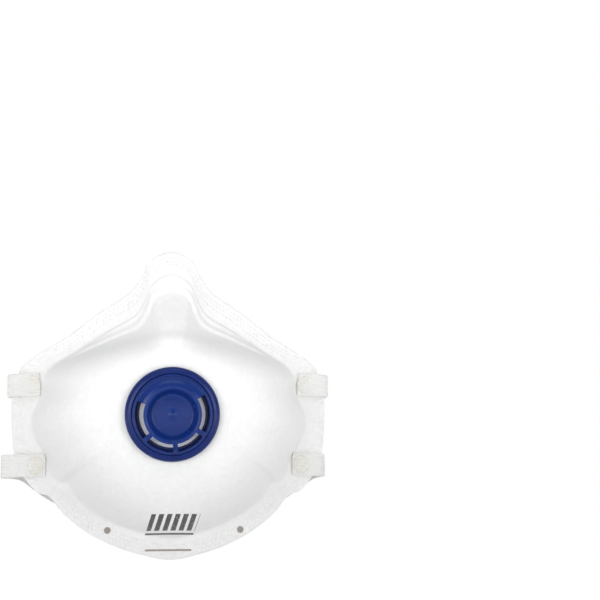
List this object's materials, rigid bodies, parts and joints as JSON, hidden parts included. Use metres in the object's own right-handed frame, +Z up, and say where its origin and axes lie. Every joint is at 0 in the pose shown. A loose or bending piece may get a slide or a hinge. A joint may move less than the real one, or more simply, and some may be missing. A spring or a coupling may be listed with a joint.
{
  "type": "disposable dust mask",
  "caption": "Moulded cup dust mask with a round exhalation valve, a sealed flange, a nose clip under the cover and two flat elastic head straps.",
  "frame": {"origin": "middle of the opening that the face fills, between the two sides of the rim", "axes": "+X to the wearer's left as worn, which is the right of the mask seen from in front; +Y back towards the wearer's face; +Z up towards the nose"},
  "size_m": [0.145, 0.1307, 0.1315],
  "materials": {
    "cover_nonwoven": "fine white needle-felt nonwoven with a dotted weld pattern round its flange",
    "filter_media": "soft white melt-blown filter web",
    "liner_nonwoven": "smooth white moulded nonwoven",
    "clip_aluminium": "dead-soft rolled strip",
    "nose_foam": "open-cell soft foam",
    "valve_blue_plastic": "injection-moulded blue plastic, satin gloss",
    "diaphragm_silicone": "thin white silicone sheet",
    "strap_elastic": "flat braided white elastic with ribs along its length",
    "weld_button": "melted and pressed ultrasonic weld spot"
  },
  "bodies": {
    "mask": {"outer_cover": "cover_nonwoven", "filter_layer": "filter_media", "inner_liner": "liner_nonwoven", "nose_clip": "clip_aluminium", "nose_foam": "nose_foam", "valve_seat": "valve_blue_plastic", "valve_cover": "valve_blue_plastic", "valve_retaining_ring": "valve_blue_plastic", "upper_left_strap_anchor": "weld_button", "upper_right_strap_anchor": "weld_button", "lower_left_strap_anchor": "weld_button", "lower_right_strap_anchor": "weld_button"},
    "upper_strap": {"upper_head_strap": "strap_elastic"},
    "lower_strap": {"lower_head_strap": "strap_elastic"},
    "diaphragm": {"valve_diaphragm": "diaphragm_silicone"}
  },
  "joints": [
    {"name": "upper_strap_swing", "type": "hinge", "parent": "mask", "child": "upper_strap", "pos_m": [0, 0.005, 0.0085], "axis": [1, 0, 0], "range_deg": [-25, 70], "stiffness_Nm_per_rad": 0.01, "deforming": ["upper_head_strap"]},
    {"name": "lower_strap_swing", "type": "hinge", "parent": "mask", "child": "lower_strap", "pos_m": [0, 0.004, -0.027], "axis": [1, 0, 0], "range_deg": [-60, 25], "stiffness_Nm_per_rad": 0.01, "deforming": ["lower_head_strap"]},
    {"name": "diaphragm_lift", "type": "slide", "parent": "mask", "child": "diaphragm", "axis": [0, -0.9903, -0.1392], "range_m": [0, 0.0012], "stiffness_N_per_m": 20}
  ]
}
